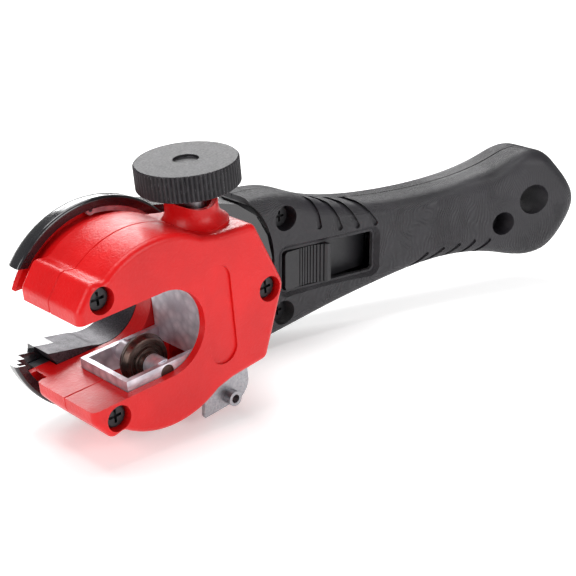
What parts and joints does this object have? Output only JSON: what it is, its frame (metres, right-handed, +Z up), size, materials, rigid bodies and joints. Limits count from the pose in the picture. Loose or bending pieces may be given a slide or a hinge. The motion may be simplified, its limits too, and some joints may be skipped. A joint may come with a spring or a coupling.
{
  "type": "pipe cutter",
  "caption": "Ratcheting pipe cutter: C-shaped red cutting head with feed knob and wheel, turning in a ring frame on a black two-shell handle.",
  "frame": {"origin": "on the axis of the clamped tube, in the cutting wheel's plane (the joint between the two head halves)", "axes": "+X along the handle away from the mouth, +Y along the tube to the back of the tool, +Z up towards the feed knob"},
  "size_m": [0.2508, 0.0616, 0.089],
  "materials": {
    "red_paint": "die-cast halves in glossy red paint with a fine orange peel",
    "black_oxide": "black-oxide steel, worn bright on the knurl",
    "black_gloss": "gloss black coated ring frame",
    "grey_metal": "dark grey satin cast metal",
    "zinc": "bright zinc-plated steel with handling scratches",
    "wheel_steel": "dark browned tool steel",
    "tool_steel": "machined tool steel",
    "spring_steel": "bright spring steel",
    "brass": "turned brass",
    "black_plastic": "moulded black nylon with fine contour-line texture",
    "slider_plastic": "smooth black plastic, ribbed",
    "black_screw": "black phosphated screws"
  },
  "bodies": {
    "ring_frame": {"ring_cup": "black_gloss", "hub_block": "grey_metal", "snap_ring": "spring_steel", "neck_cover": "black_gloss", "neck_cover_screws": "black_screw", "pawl_pins": "tool_steel", "pawl_spring_upper": "spring_steel", "pawl_spring_lower": "spring_steel", "handle_front_shell": "black_plastic", "handle_rear_shell": "black_plastic", "handle_screws": "black_screw"},
    "pawl_upper": {"pawl_upper": "tool_steel"},
    "pawl_lower": {"pawl_lower": "tool_steel"},
    "slider": {"thumb_slider": "slider_plastic", "selector_bar": "tool_steel", "detent_ball": "spring_steel", "detent_spring": "spring_steel"},
    "head": {"head_front_half": "red_paint", "head_rear_half": "red_paint", "head_screws": "black_screw", "ratchet_ring": "tool_steel", "ratchet_screws": "black_screw", "roller_pins": "tool_steel", "reamer_rivet": "zinc", "thrust_bushes": "brass"},
    "roller_left": {"tube_roller_left": "zinc"},
    "roller_right": {"tube_roller_right": "zinc"},
    "feed": {"feed_screw": "tool_steel", "knob": "black_oxide", "knob_washer": "spring_steel"},
    "carriage": {"carriage": "zinc", "feed_nut": "brass", "wheel_axle": "tool_steel", "wheel_spacers": "zinc"},
    "wheel": {"cutting_wheel": "wheel_steel"},
    "reamer": {"reamer_blade": "zinc"}
  },
  "joints": [
    {"name": "head_turn", "type": "hinge", "parent": "ring_frame", "child": "head", "pos_m": [0, 0, 0], "axis": [0, 1, 0], "continuous": true},
    {"name": "knob_turn", "type": "hinge", "parent": "head", "child": "feed", "pos_m": [0.02576, 0, 0.00271], "axis": [0.1045, 0, -0.9945], "range_deg": [-2184, 3360]},
    {"name": "carriage_lift", "type": "slide", "parent": "head", "child": "carriage", "axis": [-0.1045, 0, 0.9945], "range_m": [-0.00912, 0.01402]},
    {"name": "wheel_spin", "type": "hinge", "parent": "carriage", "child": "wheel", "pos_m": [0.00148, 0, -0.01412], "axis": [0, 1, 0], "continuous": true},
    {"name": "left_roller_spin", "type": "hinge", "parent": "head", "child": "roller_left", "pos_m": [-0.00927, 0, 0.01642], "axis": [0, 1, 0], "continuous": true},
    {"name": "right_roller_spin", "type": "hinge", "parent": "head", "child": "roller_right", "pos_m": [0.00565, 0, 0.01799], "axis": [0, 1, 0], "continuous": true},
    {"name": "reamer_fold", "type": "hinge", "parent": "head", "child": "reamer", "pos_m": [0.03868, -0.0101, -0.01403], "axis": [0, -1, 0], "range_deg": [0, 110]},
    {"name": "upper_pawl_swing", "type": "hinge", "parent": "ring_frame", "child": "pawl_upper", "pos_m": [0.03511, 0.028, 0.02024], "axis": [0, -1, 0], "range_deg": [0, 9], "stiffness_Nm_per_rad": 0.2, "springref_deg": -5.73, "deforming": ["pawl_spring_upper"]},
    {"name": "lower_pawl_swing", "type": "hinge", "parent": "ring_frame", "child": "pawl_lower", "pos_m": [0.03013, 0.028, -0.0271], "axis": [0, 1, 0], "range_deg": [0, 9], "stiffness_Nm_per_rad": 0.2, "springref_deg": -5.73, "deforming": ["pawl_spring_lower"]},
    {"name": "slider_slide", "type": "slide", "parent": "ring_frame", "child": "slider", "axis": [1, 0, 0], "range_m": [0, 0.012]}
  ],
  "couplings": [
    {"joint": "carriage_lift", "follows": "knob_turn", "m_per_rad": 0.00023873}
  ]
}
